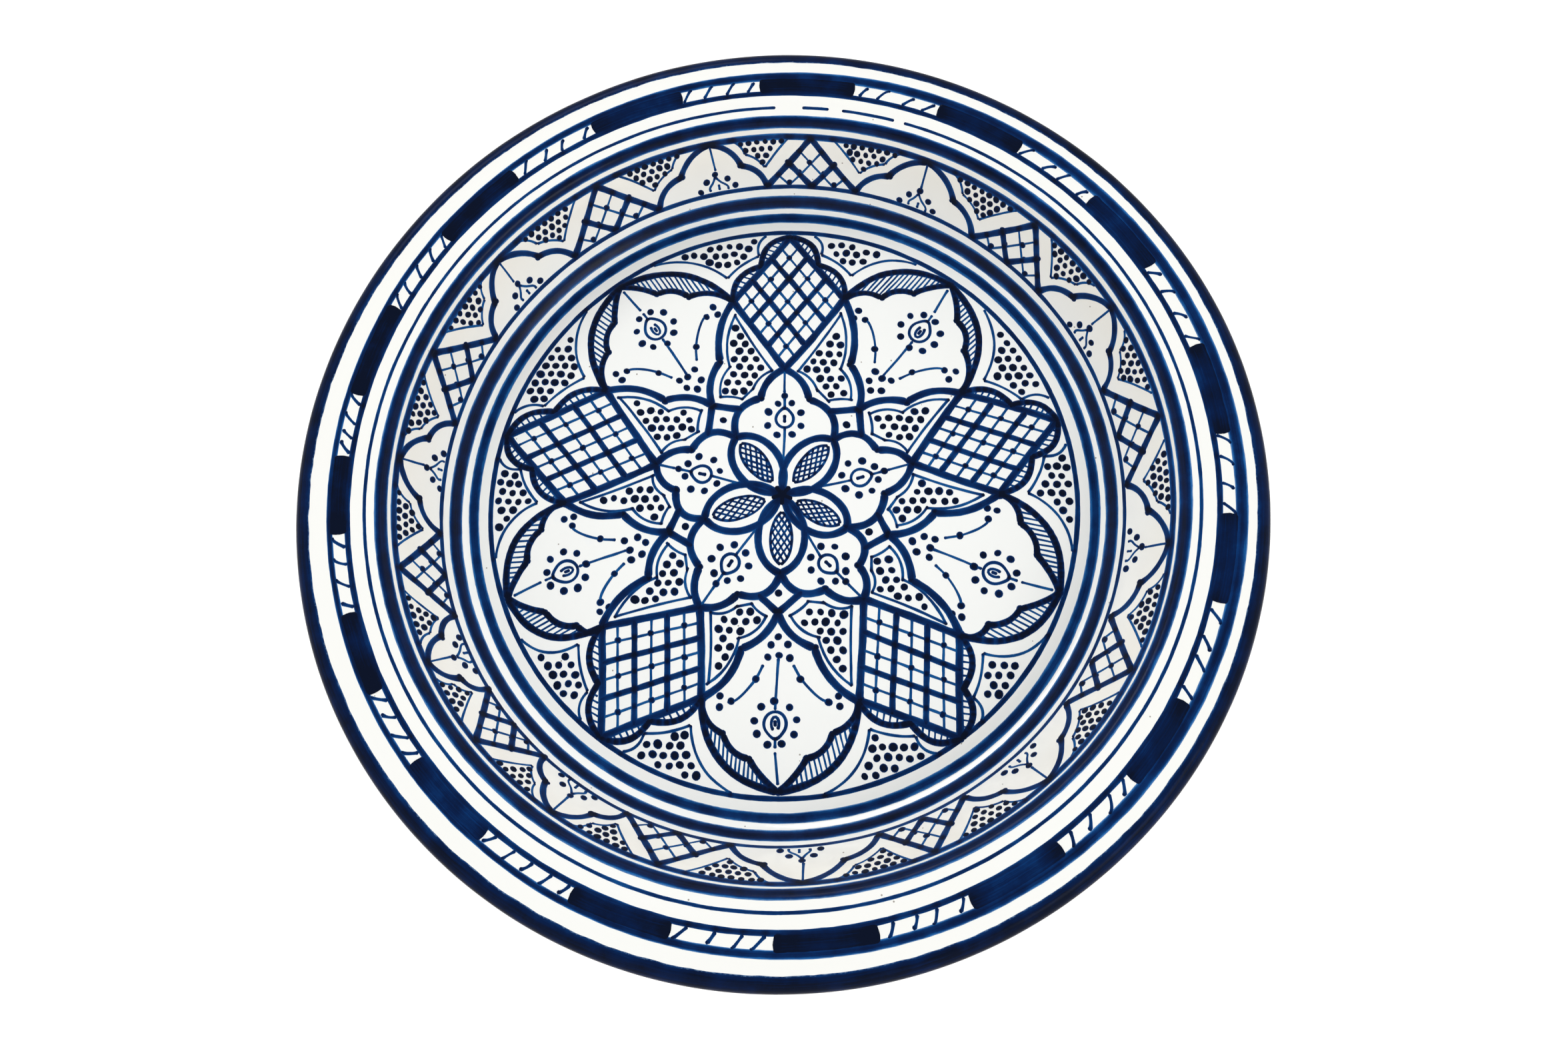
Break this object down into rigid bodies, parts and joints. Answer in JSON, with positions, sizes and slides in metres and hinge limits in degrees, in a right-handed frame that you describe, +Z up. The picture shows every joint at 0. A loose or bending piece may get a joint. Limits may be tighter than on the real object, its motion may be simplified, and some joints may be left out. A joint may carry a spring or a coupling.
{
  "type": "ceramic plate",
  "caption": "Large round hand-painted ceramic serving plate with a deep well, sloping wall, broad flange, rolled lip and foot ring, painted in cobalt blue over white glaze.",
  "frame": {"origin": "centre of the foot ring's standing plane, at the bottom of the plate", "axes": "+Z up along the plate's turning axis, out of the painted face; +Y through the lozenge that the picture shows at the top of the well"},
  "size_m": [0.4205, 0.4204, 0.0619],
  "materials": {
    "bare_clay": "matte",
    "white_glaze": "gloss",
    "cobalt": "gloss",
    "dark_cobalt": "gloss",
    "light_cobalt": "gloss"
  },
  "bodies": {
    "root": {"clay_body": "bare_clay", "clay_flange": "bare_clay", "foot_ring": "bare_clay", "face_glaze": "white_glaze", "back_glaze": "white_glaze", "base_glaze": "white_glaze", "lip_band": "dark_cobalt", "border_outer_line": "cobalt", "border_inner_line": "cobalt", "border_blocks": "dark_cobalt", "border_ticks": "cobalt", "flange_line": "cobalt", "shoulder_band": "dark_cobalt", "wall_top_line": "cobalt", "wall_base_line": "cobalt", "wall_arches": "cobalt", "wall_tents": "cobalt", "wall_tent_lattices": "light_cobalt", "wall_flowers": "light_cobalt", "wall_spandrel_outlines": "light_cobalt", "wall_spandrel_dots": "dark_cobalt", "heel_band": "dark_cobalt", "well_band": "cobalt", "medallion_line": "cobalt", "star_hub": "dark_cobalt", "leaf_outlines": "cobalt", "leaf_hatching": "light_cobalt", "lobe_outlines": "cobalt", "lobe_flowers": "light_cobalt", "lozenge_frames": "cobalt", "lozenge_bars": "cobalt", "lozenge_liners": "light_cobalt", "lozenge_scallops": "cobalt", "lozenge_hatching": "light_cobalt", "petal_outlines": "cobalt", "petal_crescents": "cobalt", "petal_hatching": "light_cobalt", "petal_flowers": "light_cobalt", "petal_sprigs": "light_cobalt", "cell_outlines": "light_cobalt", "cell_dots": "dark_cobalt"}
  },
  "joints": []
}
